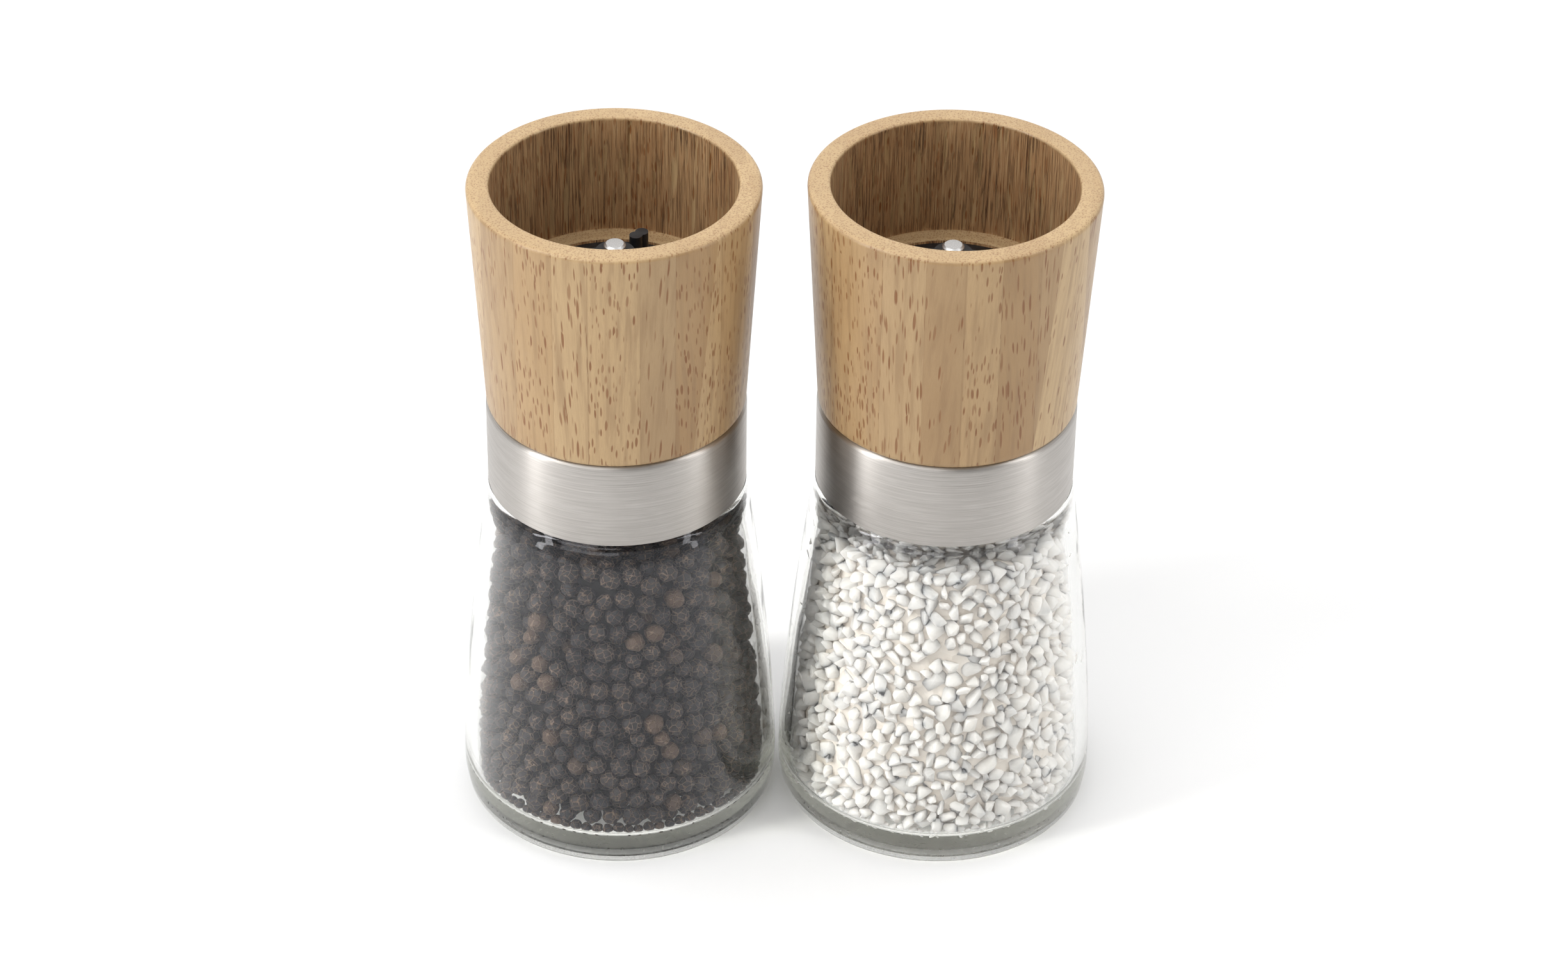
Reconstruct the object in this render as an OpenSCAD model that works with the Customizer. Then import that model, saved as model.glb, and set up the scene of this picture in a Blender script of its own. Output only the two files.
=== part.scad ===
// A pair of hand mills, one for pepper and one for salt, that stand side by side along X.
// Each mill is a glass jar, a steel-clad collar that screws onto it, and a bamboo cup that
// carries the grinder. Millimetres, +Z up, origin on the table midway between the two jars.

/* [Pair] */
// Height of a mill
mill_h = 145; // [144:0.5:148]
// Distance between the axes of the two mills
mill_spacing = 66; // [66:1:120]

/* [Glass jar] */
// Widest diameter of the jar, just above its heel
jar_d = 65.4; // [64.8:0.2:65.8]
// Diameter of the jar's shoulder, under the steel ring
shoulder_d = 52.6; // [52:0.2:53]
// Height of the shoulder
shoulder_z = 76.6; // [76.2:0.1:76.8]
// Thickness of the jar's side wall
jar_wall = 2.6; // [2.2:0.1:3]
// Thickness of the jar's base
jar_floor = 6; // [5:0.5:7]
// Outer diameter of the neck, under its thread
neck_d = 44; // [43.8:0.1:44.2]
// Height of the jar's lip
lip_z = 88; // [87.8:0.1:88]
// Level that the contents reach at the wall
fill_z = 69; // [50:1:70]

/* [Jar thread] */
// Rise of the thread in one turn
thread_pitch = 4.2; // [4:0.1:4.5]
// Length of the thread ridge, in turns
thread_turns = 1.25; // [1:0.05:1.3]

/* [Collar and steel ring] */
// Outer diameter of the steel ring
ring_d = 52.1; // [52:0.1:52.4]
// Height of the steel ring
ring_h = 18.6; // [18.4:0.1:18.7]
// Thickness of the steel sheet
ring_sheet = 0.5; // [0.4:0.05:0.55]
// Number of arms in the collar's spider
spider_arms = 3; // [3:1:4]

/* [Bamboo sleeve] */
// Outer diameter at the rim
rim_d = 57.4; // [56.5:0.1:58.5]
// Outer diameter at the foot
foot_d = 51.8; // [51.6:0.1:52]
// Diameter of the cup
cup_d = 48.4; // [48:0.1:49]
// Depth of the cup, down to its ledge
cup_depth = 26; // [25:0.5:28]
// Diameter of the hole inside the ledge
hole_d = 42; // [41.9:0.1:42.5]

/* [Grinder] */
// Side of the shaft's square length
shaft_side = 4; // [3.6:0.1:4]
// Diameter of the shaft's round, threaded tip
tip_d = 4.3; // [4.1:0.1:4.3]
// Outer diameter of the ceramic ring burr
burr_d = 32; // [31.6:0.1:32]
// Number of fine teeth on each burr
fine_teeth = 36; // [24:6:42]
// Number of coarse flutes on each burr
coarse_flutes = 9; // [7:1:10]
// Diameter of the adjusting knob's disc
knob_d = 25; // [22:0.5:27]
// Number of grip notches round the disc
knob_notches = 24; // [12:1:28]

/* [Hidden] */

$fn = 96;
cut = 1;            // how far a cutting solid runs past the face it opens
fit = 0.1;          // clearance between pieces that are fixed to each other
play = 0.3;         // clearance between pieces that turn or slide on each other

// Heights, from the jar upwards
seal_h = 1.4;
seal_z = lip_z + 0.05;
web_z = lip_z + 1.5;
web_h = 2;
ring_z = shoulder_z + play;
ring_top = ring_z + ring_h;
boss_top = web_z + 6.5;
clip_h = 0.7;
washer_z = boss_top + clip_h + fit;
washer_h = 0.6;
flange_z = web_z + 9.5;
flange_h = 2;
burr_z = flange_z + 4.5;
burr_h = 10.5;
burr_top = burr_z + burr_h;
cone_z = burr_z - 2;
cone_top = burr_top + 0.5;
ledge_under = burr_top - 0.8;
ledge_z = mill_h - cup_depth;
knob_disc_z = burr_top + 5.7;
hub_top = burr_top + 15.2;
shaft_top = burr_top + 17;
post_top = hub_top + 0.8;

// Radii, from the axis outwards
shaft_head_r = 3.6;
boss_r = 4.6;
hub_r = 3.9;
tube_bore_r = 16;
tube_r = 17.5;
flange_r = 19;
screw_circle_r = 21.2;
counterbore_r = 23.2;
collar_r = ring_d / 2 - ring_sheet - 0.05;
thread_bore_r = neck_d / 2 + 1.7;
burr_bore_r = 12.95;
flare = 1.2;        // how much the burrs widen over their fine teeth
fine_h = 3;         // height of the fine teeth
grind_gap = 0.45;
flute_slant = 25;

function arc(centre, r, from, to, steps) =
    [for (i = [0:steps]) let (a = from + (to - from) * i / steps) centre + r * [cos(a), sin(a)]];

// ---- glass jar and contents ----

belly_z = 8;
shoulder_round = 1.5;
wall_top = shoulder_z - shoulder_round;
wall_curve = 1.45;  // the wall draws in slowly above the heel and faster towards the shoulder

function wall_r(z) =
    jar_d / 2 - (jar_d - shoulder_d) / 2 * pow(max(0, (z - belly_z) / (wall_top - belly_z)), wall_curve);

function wall_points(from, to, steps, inset) =
    [for (i = [0:steps]) let (z = from + (to - from) * i / steps) [wall_r(z) - inset, z]];

corner_r = 4;       // rounding between the jar's floor and its side wall

// The inside of the jar from its floor up to the given level, drawn in by the given clearance
function inside_points(top, gap) = concat(
    [[0, jar_floor + gap]],
    arc([wall_r(belly_z + 3) - jar_wall - corner_r, jar_floor + corner_r], corner_r - gap, -90, 0, 6),
    wall_points(belly_z + 5, top, 10, jar_wall + gap));

module neck_thread(root_r, crest_r, start_z) {
    steps = 36;
    fade = 4;
    root_w = 2.2;
    crest_w = 1.3;
    count = round(thread_turns * steps);
    outward = crest_r > root_r;
    corners = [
        for (i = [0:count])
            let (a = 360 * i / steps,
                 z = start_z + thread_pitch * i / steps,
                 rise = max(0.2, min(1, i / fade, (count - i) / fade)),
                 r = root_r + (crest_r - root_r) * rise)
            each [
                [root_r * cos(a), root_r * sin(a), z - root_w / 2],
                [r * cos(a), r * sin(a), z - crest_w / 2],
                [r * cos(a), r * sin(a), z + crest_w / 2],
                [root_r * cos(a), root_r * sin(a), z + root_w / 2]
            ]
    ];
    sides = [
        for (i = [0:count - 1], j = [0:3])
            let (a = 4 * i + j, b = 4 * i + (j + 1) % 4)
            each [[a, b, b + 4], [a, b + 4, a + 4]]
    ];
    last = 4 * count;
    ends = [[2, 1, 0], [3, 2, 0], [last, last + 1, last + 2], [last, last + 2, last + 3]];
    faces = concat(sides, ends);
    polyhedron(corners, outward ? faces : [for (f = faces) [f[2], f[1], f[0]]], convexity = 6);
}

thread_root = 0.3;    // how far a ridge is sunk into the wall that it stands on
thread_depth = 1.3;
male_thread_z = shoulder_z + 4;
female_thread_z = male_thread_z - thread_pitch / 2;

module glass_jar() {
    foot_r = jar_d / 2 - 2.7;
    heel_r = 2.2;
    hollow_h = 1.2;       // rise of the hollow under the base
    standing_w = 3.8;     // width of the ring that the jar stands on, inside foot_r
    neck_r = neck_d / 2;
    bore_r = neck_r - 2.5;
    lip_r = 1;
    inner_shoulder_r = 2.5;
    outside = concat(
        [[0, hollow_h], [foot_r - standing_w - hollow_h, hollow_h], [foot_r - standing_w, 0]],
        arc([foot_r, heel_r], heel_r, -90, 0, 6),
        wall_points(belly_z, wall_top, 12, 0),
        arc([shoulder_d / 2 - shoulder_round, wall_top], shoulder_round, 15, 90, 5),
        [[neck_r, shoulder_z]],
        arc([neck_r - lip_r, lip_z - lip_r], lip_r, 0, 90, 4),
        arc([bore_r + lip_r, lip_z - lip_r], lip_r, 90, 180, 4));
    inside = concat(
        inside_points(wall_top - 4, 0),
        arc([shoulder_d / 2 - jar_wall - inner_shoulder_r, wall_top - 3], inner_shoulder_r, 15, 75, 4),
        [[bore_r, shoulder_z + 0.5]]);
    closed = concat(outside, [for (i = [len(inside) - 1:-1:0]) inside[i]]);
    color("#cfdcd4", 0.5) union() {
        rotate_extrude() polygon(closed);
        neck_thread(neck_r - thread_root, neck_r + thread_depth, male_thread_z);
    }
}

module fill_solid() {
    gap = 0.15;
    mound = 1.5;
    rotate_extrude() polygon(concat(inside_points(fill_z, gap), [[0, fill_z + mound]]));
}

module peppercorn_fill() color("#3a3231") fill_solid();
module salt_fill() color("#e4e1dc") fill_solid();

module seal() {
    outer_r = neck_d / 2 + 0.6;
    inner_r = neck_d / 2 - 2.2;
    color("#d9d9d4") translate([0, 0, seal_z]) difference() {
        cylinder(h = seal_h, r = outer_r);
        translate([0, 0, -cut]) cylinder(h = seal_h + 2 * cut, r = inner_r);
    }
}

// ---- collar: screws onto the jar and carries the drive shaft ----

module thread_collar() {
    top = ring_top - ring_sheet - fit;
    wall_in_r = collar_r - 1.5;
    corner = 0.7;         // chamfer that clears the rolled edge of the steel ring
    arm_w = 3;
    arm_h = 4;
    color("#1b1b1c") difference() {
        union() {
            difference() {
                union() {
                    translate([0, 0, ring_z + fit]) cylinder(h = top - corner - ring_z - fit, r = collar_r);
                    translate([0, 0, top - corner])
                        cylinder(h = corner, r1 = collar_r, r2 = collar_r - corner);
                }
                translate([0, 0, ring_z - cut]) cylinder(h = web_z - ring_z + cut, r = thread_bore_r);
                translate([0, 0, web_z + web_h]) cylinder(h = top - web_z, r = wall_in_r);
                translate([0, 0, web_z - cut]) cylinder(h = web_h + 2 * cut, r = tube_bore_r);
            }
            neck_thread(thread_bore_r + thread_root, thread_bore_r - thread_depth, female_thread_z);
            difference() {
                union() {
                    translate([0, 0, web_z]) cylinder(h = flange_z - web_z + flange_h, r = tube_r);
                    translate([0, 0, flange_z]) cylinder(h = flange_h, r = flange_r);
                }
                translate([0, 0, web_z - cut])
                    cylinder(h = flange_z - web_z + flange_h + 2 * cut, r = tube_bore_r);
            }
            translate([0, 0, web_z]) cylinder(h = boss_top - web_z, r = boss_r);
            for (i = [0:spider_arms - 1])
                rotate([0, 0, 90 + i * 360 / spider_arms])
                    translate([0, -arm_w / 2, web_z]) cube([tube_bore_r + 0.5, arm_w, arm_h]);
        }
        square_hole(web_z - cut, boss_top + cut);
    }
}

module square_hole(from, to) {
    side = shaft_side + 2 * fit;
    translate([-side / 2, -side / 2, from]) cube([side, side, to - from]);
}

module steel_ring() {
    edge_r = 1;
    outer_r = ring_d / 2;
    lip_in_r = outer_r - 2.2;
    color("#b9b9b6") rotate_extrude() polygon(concat(
        [[outer_r - ring_sheet, ring_z], [outer_r, ring_z]],
        arc([outer_r - edge_r, ring_top - edge_r], edge_r, 0, 90, 6),
        [[lip_in_r, ring_top], [lip_in_r, ring_top - ring_sheet]],
        arc([outer_r - edge_r, ring_top - edge_r], edge_r - ring_sheet, 90, 0, 5)));
}

module drive_shaft() {
    head_h = 1.3;
    head_z = web_z - head_h - 0.05;
    square_top = cone_top + 0.6;
    groove_depth = 0.4;
    chamfer = 0.4;
    color("#c9c9c8") difference() {
        union() {
            translate([0, 0, head_z]) cylinder(h = head_h, r = shaft_head_r);
            translate([-shaft_side / 2, -shaft_side / 2, web_z - 0.1])
                cube([shaft_side, shaft_side, square_top - web_z + 0.1]);
            translate([0, 0, square_top - 0.1])
                cylinder(h = shaft_top - chamfer - square_top + 0.1, r = tip_d / 2);
            translate([0, 0, shaft_top - chamfer])
                cylinder(h = chamfer, r1 = tip_d / 2, r2 = tip_d / 2 - chamfer);
        }
        translate([0, 0, boss_top]) difference() {
            cylinder(h = clip_h + 0.1, r = shaft_side);
            translate([0, 0, -cut]) cylinder(h = clip_h + 2 * cut, r = shaft_side / 2 - groove_depth + 0.3);
        }
    }
}

module shaft_clip() {
    inner_r = shaft_side / 2 + 0.05;
    outer_r = 4;
    mouth_w = inner_r * 1.6;
    color("#8d8d8c") translate([0, 0, boss_top + 0.05]) difference() {
        cylinder(h = clip_h - 0.05, r = outer_r);
        translate([0, 0, -cut]) cylinder(h = clip_h + 2 * cut, r = inner_r);
        translate([0, -mouth_w / 2, -cut]) cube([outer_r + cut, mouth_w, clip_h + 2 * cut]);
    }
}

module spring_washer() {
    outer_r = 4.3;
    inner_r = 3;
    color("#a9a9a7") translate([0, 0, washer_z]) difference() {
        cylinder(h = washer_h, r = outer_r);
        translate([0, 0, -cut]) cylinder(h = washer_h + 2 * cut, r = inner_r);
    }
}

// A round wire wound from the washer up to the roof of the cone's pocket
module spring() {
    wire_r = 0.35;
    coil_r = 3.6;
    end_gap = 0.05;
    sides = 6;
    turns = 6;
    steps = 16;
    start = washer_z + washer_h + wire_r + end_gap;
    end = spring_roof - wire_r - end_gap;
    count = turns * steps;
    points = [
        for (i = [0:count], j = [0:sides - 1])
            let (a = 360 * i / steps, b = -360 * j / sides, r = coil_r + wire_r * cos(b))
            [r * cos(a), r * sin(a), start + (end - start) * i / count + wire_r * sin(b)]
    ];
    faces = [
        for (i = [0:count - 1], j = [0:sides - 1])
            let (a = i * sides + j, b = i * sides + (j + 1) % sides)
            each [[a, b, b + sides], [a, b + sides, a + sides]]
    ];
    ends = [
        [for (j = [sides - 1:-1:0]) j],
        [for (j = [0:sides - 1]) count * sides + j]
    ];
    color("#b4b4b2") polyhedron(points, concat(faces, ends), convexity = 10);
}

// ---- grinder ----

spring_roof = cone_z + 5;
spring_pocket_r = 4.6;

// Slanted grooves round a flared face, which leave the fine teeth between them
module burr_teeth(r) {
    slant = 18;
    follow = 21;      // leans each groove along the flare
    groove = [1.2, 0.9, fine_h + 3];
    for (i = [0:fine_teeth - 1])
        rotate([0, 0, i * 360 / fine_teeth])
            translate([r, 0, burr_top - fine_h / 2]) rotate([slant, follow, 0]) cube(groove, center = true);
}

module grinding_cone() {
    top_r = burr_bore_r + flare - grind_gap;
    mid_r = burr_bore_r - grind_gap;
    mid_z = burr_top - fine_h;
    foot_r = 6.2;
    flute_r = 1.3;
    lean = atan((mid_r - foot_r) / (mid_z - cone_z));
    color("#ece9e2") difference() {
        rotate_extrude() polygon([
            [0, cone_z], [foot_r, cone_z], [mid_r, mid_z], [top_r, burr_top],
            [top_r - 0.5, cone_top], [0, cone_top]
        ]);
        translate([0, 0, cone_z - cut]) cylinder(h = spring_roof - cone_z + cut, r = spring_pocket_r);
        square_hole(cone_z, cone_top + cut);
        burr_teeth(top_r - 0.1);
        for (i = [0:coarse_flutes - 1])
            rotate([0, 0, i * 360 / coarse_flutes])
                translate([(foot_r + mid_r) / 2 + 0.6, 0, (cone_z + mid_z) / 2])
                    rotate([-flute_slant, lean, 0]) cylinder(h = 14, r = flute_r, center = true);
    }
}

module ring_burr() {
    mid_z = burr_top - fine_h;
    flute_r = 1.1;
    flute_z = burr_z + 2.5;
    color("#ece9e2") difference() {
        translate([0, 0, burr_z]) cylinder(h = burr_h, r = burr_d / 2);
        translate([0, 0, burr_z - cut]) cylinder(h = mid_z - burr_z + cut + 0.01, r = burr_bore_r);
        translate([0, 0, mid_z]) cylinder(h = fine_h, r1 = burr_bore_r, r2 = burr_bore_r + flare);
        translate([0, 0, burr_top - 0.01]) cylinder(h = cut, r = burr_bore_r + flare);
        burr_teeth(burr_bore_r + flare + 0.1);
        for (i = [0:coarse_flutes - 1])
            rotate([0, 0, i * 360 / coarse_flutes])
                translate([burr_bore_r + 0.3, 0, flute_z])
                    rotate([-flute_slant, 0, 0]) cylinder(h = 12, r = flute_r, center = true);
    }
}

// ---- head: the housing, its retaining ring and the bamboo ----

module burr_housing() {
    skirt_z = flange_z - 0.25;
    neck_r = hole_d / 2 - 0.15;
    neck_top = ledge_z - 0.7;
    pocket_r = burr_d / 2 + fit;
    outlet_r = burr_bore_r + flare + 0.6;
    funnel_r = 19;
    screw_hole_h = 8;
    color("#151516") difference() {
        union() {
            translate([0, 0, skirt_z]) cylinder(h = ledge_under - fit - skirt_z, r = counterbore_r - fit);
            translate([0, 0, skirt_z]) cylinder(h = neck_top - skirt_z, r = neck_r);
        }
        translate([0, 0, skirt_z - cut])
            cylinder(h = flange_h + 2 * play + cut, r = flange_r + play);
        translate([0, 0, skirt_z]) cylinder(h = burr_top + fit - skirt_z, r = pocket_r);
        translate([0, 0, skirt_z]) cylinder(h = neck_top - skirt_z, r = outlet_r);
        translate([0, 0, burr_top + 1.2])
            cylinder(h = neck_top - burr_top - 1.2 + 0.01, r1 = outlet_r, r2 = funnel_r);
        screw_places() translate([0, 0, skirt_z - cut]) cylinder(h = screw_hole_h, r = 0.85, $fn = 24);
    }
}

module screw_places() {
    for (i = [0:2]) rotate([0, 0, 30 + i * 120]) translate([screw_circle_r, 0, 0]) children();
}

retainer_h = 1.8;
retainer_z = flange_z - 0.3 - retainer_h;

// A split ring that is sprung over the collar's flange, then screwed up under the housing
module retaining_ring() {
    split_w = 1;
    through = retainer_h + 2 * cut;
    color("#222223") difference() {
        translate([0, 0, retainer_z]) cylinder(h = retainer_h, r = counterbore_r - play);
        translate([0, 0, retainer_z - cut]) cylinder(h = through, r = tube_r + play);
        rotate([0, 0, 90])
            translate([0, -split_w / 2, retainer_z - cut]) cube([counterbore_r, split_w, through]);
        screw_places() translate([0, 0, retainer_z - cut]) cylinder(h = through, r = 1, $fn = 24);
    }
}

module housing_screws() {
    head_h = 1.1;
    head_r = 1.6;
    head_z = retainer_z - head_h - 0.05;
    shank_h = retainer_h + 6;
    shank_r = 0.8;
    slot = [2.2, 0.4, cut + 0.5];
    color("#a7a7a5") screw_places() difference() {
        union() {
            translate([0, 0, head_z]) cylinder(h = head_h, r = head_r, $fn = 32);
            translate([0, 0, retainer_z - 0.1]) cylinder(h = shank_h, r = shank_r, $fn = 32);
        }
        for (turn = [0, 90]) rotate([0, 0, turn])
            translate([-slot[0] / 2, -slot[1] / 2, head_z - cut]) cube(slot);
    }
}

module adjusting_knob() {
    disc_h = 1.8;
    notch_r = 0.8;
    cone_h = 2.4;
    cone_foot_r = 8.6;
    post_r = 1.3;
    post_places = [6.15, 7.85];   // two touching posts make the figure-of-eight finger grip
    color("#131314") difference() {
        union() {
            translate([0, 0, cone_top + 0.1]) cylinder(h = hub_top - cone_top - 0.1, r = hub_r);
            translate([0, 0, knob_disc_z]) cylinder(h = disc_h, r = knob_d / 2);
            translate([0, 0, knob_disc_z + disc_h - 0.01])
                cylinder(h = cone_h, r1 = cone_foot_r, r2 = hub_r - 0.05);
            for (r = post_places)
                translate([r, 0, knob_disc_z + 0.1])
                    cylinder(h = post_top - knob_disc_z - 0.1, r = post_r, $fn = 32);
        }
        translate([0, 0, cone_top - cut]) cylinder(h = 2.2 + cut, r = shaft_side * 0.75);
        translate([0, 0, cone_top]) cylinder(h = 30, r = tip_d / 2 + 0.05);
        for (i = [0:knob_notches - 1])
            rotate([0, 0, i * 360 / knob_notches])
                translate([knob_d / 2 + 0.35, 0, knob_disc_z - cut])
                    cylinder(h = disc_h + 2 * cut, r = notch_r, $fn = 24);
    }
}

module bamboo_sleeve() {
    edge = 1;
    foot_chamfer = 0.4;
    foot_z = ring_top + play;
    foot_r = foot_d / 2;
    rim_r = rim_d / 2;
    cup_r = cup_d / 2;
    color("#c9a271") rotate_extrude() polygon(concat(
        [[counterbore_r, foot_z], [foot_r - foot_chamfer, foot_z], [foot_r, foot_z + foot_chamfer]],
        arc([rim_r - edge, mill_h - edge], edge, 0, 90, 5),
        arc([cup_r + edge / 2, mill_h - edge / 2], edge / 2, 90, 180, 4),
        [[cup_r, ledge_z], [hole_d / 2, ledge_z], [hole_d / 2, ledge_under], [counterbore_r, ledge_under]]));
}

// ---- the two mills ----

module pepper_mill() translate([-mill_spacing / 2, 0, 0]) children();
module salt_mill() translate([mill_spacing / 2, 0, 0]) children();
pepper_knob_turn = 49;
salt_knob_turn = -70;

module pepper_glass_jar() pepper_mill() glass_jar();
module peppercorns() pepper_mill() peppercorn_fill();
module pepper_seal() pepper_mill() seal();
module pepper_thread_collar() pepper_mill() thread_collar();
module pepper_steel_ring() pepper_mill() steel_ring();
module pepper_drive_shaft() pepper_mill() drive_shaft();
module pepper_shaft_clip() pepper_mill() shaft_clip();
module pepper_spring_washer() pepper_mill() spring_washer();
module pepper_spring() pepper_mill() spring();
module pepper_grinding_cone() pepper_mill() grinding_cone();
module pepper_ring_burr() pepper_mill() ring_burr();
module pepper_burr_housing() pepper_mill() burr_housing();
module pepper_retaining_ring() pepper_mill() retaining_ring();
module pepper_housing_screws() pepper_mill() housing_screws();
module pepper_adjusting_knob() pepper_mill() rotate([0, 0, pepper_knob_turn]) adjusting_knob();
module pepper_bamboo_sleeve() pepper_mill() bamboo_sleeve();

module salt_glass_jar() salt_mill() glass_jar();
module salt_crystals() salt_mill() salt_fill();
module salt_seal() salt_mill() seal();
module salt_thread_collar() salt_mill() thread_collar();
module salt_steel_ring() salt_mill() steel_ring();
module salt_drive_shaft() salt_mill() drive_shaft();
module salt_shaft_clip() salt_mill() shaft_clip();
module salt_spring_washer() salt_mill() spring_washer();
module salt_spring() salt_mill() spring();
module salt_grinding_cone() salt_mill() grinding_cone();
module salt_ring_burr() salt_mill() ring_burr();
module salt_burr_housing() salt_mill() burr_housing();
module salt_retaining_ring() salt_mill() retaining_ring();
module salt_housing_screws() salt_mill() housing_screws();
module salt_adjusting_knob() salt_mill() rotate([0, 0, salt_knob_turn]) adjusting_knob();
module salt_bamboo_sleeve() salt_mill() bamboo_sleeve();

pepper_glass_jar();
peppercorns();
pepper_seal();
pepper_thread_collar();
pepper_steel_ring();
pepper_drive_shaft();
pepper_shaft_clip();
pepper_spring_washer();
pepper_spring();
pepper_grinding_cone();
pepper_ring_burr();
pepper_burr_housing();
pepper_retaining_ring();
pepper_housing_screws();
pepper_adjusting_knob();
pepper_bamboo_sleeve();
salt_glass_jar();
salt_crystals();
salt_seal();
salt_thread_collar();
salt_steel_ring();
salt_drive_shaft();
salt_shaft_clip();
salt_spring_washer();
salt_spring();
salt_grinding_cone();
salt_ring_burr();
salt_burr_housing();
salt_retaining_ring();
salt_housing_screws();
salt_adjusting_knob();
salt_bamboo_sleeve();
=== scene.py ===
"""Looks for a pepper mill and a salt mill: glass jars with their contents, steel rings, bamboo
cups and the grinder inside them. Lengths in the outlines below are millimetres, measured from
each mill's axis and from the table; MM turns them into metres."""

import math

import bmesh
import bpy
import numpy as np
from mathutils import Matrix, Vector, noise


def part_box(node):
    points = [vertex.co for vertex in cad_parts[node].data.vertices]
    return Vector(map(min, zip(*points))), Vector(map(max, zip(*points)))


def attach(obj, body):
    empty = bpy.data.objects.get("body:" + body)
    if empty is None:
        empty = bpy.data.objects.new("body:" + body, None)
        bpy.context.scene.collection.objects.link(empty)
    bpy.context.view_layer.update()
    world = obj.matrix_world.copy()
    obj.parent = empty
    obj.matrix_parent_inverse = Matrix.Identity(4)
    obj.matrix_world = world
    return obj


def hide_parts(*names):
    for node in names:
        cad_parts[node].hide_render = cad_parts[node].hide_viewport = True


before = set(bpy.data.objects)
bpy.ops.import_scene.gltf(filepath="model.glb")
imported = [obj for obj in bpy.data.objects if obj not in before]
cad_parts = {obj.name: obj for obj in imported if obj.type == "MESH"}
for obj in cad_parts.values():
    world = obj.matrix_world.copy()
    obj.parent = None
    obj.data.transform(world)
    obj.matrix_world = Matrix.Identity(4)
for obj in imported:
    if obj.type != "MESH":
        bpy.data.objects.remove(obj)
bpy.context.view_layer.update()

MM = 0.001


def span_of(node):
    """A node's lowest and highest corner, in millimetres from its own mill's axis."""
    low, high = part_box(node)
    centre = (low.x + high.x) / 2
    return (low - Vector((centre, 0, 0))) / MM, (high - Vector((centre, 0, 0))) / MM


def axis_of(mill):
    """Where a mill's axis stands along X, in metres."""
    low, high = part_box(f"{mill}_glass_jar")
    return (low.x + high.x) / 2


# ---- driving dimensions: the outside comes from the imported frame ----

JAR_HIGH = span_of("pepper_glass_jar")[1]
RING_LOW, RING_HIGH = span_of("pepper_steel_ring")
SLEEVE_LOW, SLEEVE_HIGH = span_of("pepper_bamboo_sleeve")
HOUSING_LOW = span_of("pepper_burr_housing")[0]

# Jar
JAR_R = JAR_HIGH.x
BELLY_Z = 8.0                   # the wall is upright up to here and leans in above
WALL_CURVE = 1.45               # how late it leans in; 1 would be a straight cone
SHOULDER_R = 26.3
SHOULDER_Z = RING_LOW.z - 0.3
SHOULDER_EDGE = 1.5
WALL = 2.6
FLOOR_Z = 6.0
CORNER_R = 2.4                  # inside, between floor and wall
NECK_R = 22.0
NECK_BORE_R = 19.5

# Contents
FILL_Z = 69.0                   # where they end against the glass
MOUND = 1.5                     # how much higher they stand in the middle
MOUND_R = 20.0

# Ring and sleeve
RING_R = RING_HIGH.x
SHEET = 0.5                     # the steel's thickness
RIM_R = SLEEVE_HIGH.x
FOOT_R = 25.9
CUP_R = 24.2
LEDGE_Z = SLEEVE_HIGH.z - 26.0
LEDGE_HOLE_R = 21.0
SLEEVE_BORE_R = 23.2
LEDGE_UNDER_Z = HOUSING_LOW.z + 14.45


# ---- outlines and meshes ----

def arc(centre, radius, start, end, steps):
    """Points on part of a circle, between two angles in degrees."""
    turn = [math.radians(start + (end - start) * i / steps) for i in range(steps + 1)]
    return [(centre[0] + radius * math.cos(a), centre[1] + radius * math.sin(a)) for a in turn]


def wall_r(z):
    """Outer radius of the jar's side wall at a height."""
    top = SHOULDER_Z - SHOULDER_EDGE
    share = max(0.0, (z - BELLY_Z) / (top - BELLY_Z))
    return JAR_R - (JAR_R - SHOULDER_R) * share ** WALL_CURVE


def wall(start, end, steps):
    heights = [start + (end - start) * i / steps for i in range(steps + 1)]
    return [(wall_r(z), z) for z in heights]


def lathe(name, outline, mill, segments):
    """A mesh turned about a mill's axis from (radius, height) points in millimetres. An outline
    that doesn't start on the axis is closed from its last point to its first."""
    axis = axis_of(mill)
    verts, faces, rings = [], [], []
    for radius, z in outline:
        if radius < 1e-6:
            rings.append([len(verts)])
            verts.append((axis, 0, z * MM))
            continue
        ring = []
        for k in range(segments):
            a = 2 * math.pi * k / segments
            ring.append(len(verts))
            verts.append((axis + radius * MM * math.cos(a), radius * MM * math.sin(a), z * MM))
        rings.append(ring)
    pairs = list(zip(rings, rings[1:]))
    if len(rings[0]) > 1:
        pairs.append((rings[-1], rings[0]))
    for low, high in pairs:
        for k in range(segments):
            n = (k + 1) % segments
            if len(low) == 1 and len(high) == 1:
                break
            if len(low) == 1:
                faces.append((low[0], high[n], high[k]))
            elif len(high) == 1:
                faces.append((low[k], low[n], high[0]))
            else:
                faces.append((low[k], low[n], high[n], high[k]))
    return piece(name, verts, faces)


def piece(name, verts, faces):
    mesh = bpy.data.meshes.new(name)
    mesh.from_pydata(verts, [], faces)
    mesh.update()
    mesh.polygons.foreach_set("use_smooth", [True] * len(mesh.polygons))
    made = bpy.data.objects.new(name, mesh)
    bpy.context.scene.collection.objects.link(made)
    return made


def sharpen(made, degrees):
    """Keeps edges sharper than an angle crisp and shades the rest smooth."""
    edit = bmesh.new()
    edit.from_mesh(made.data)
    limit = math.radians(degrees)
    for edge in edit.edges:
        if len(edge.link_faces) == 2 and edge.calc_face_angle(0.0) > limit:
            edge.smooth = False
    edit.to_mesh(made.data)
    edit.free()
    return made


# ---- node trees ----

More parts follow.
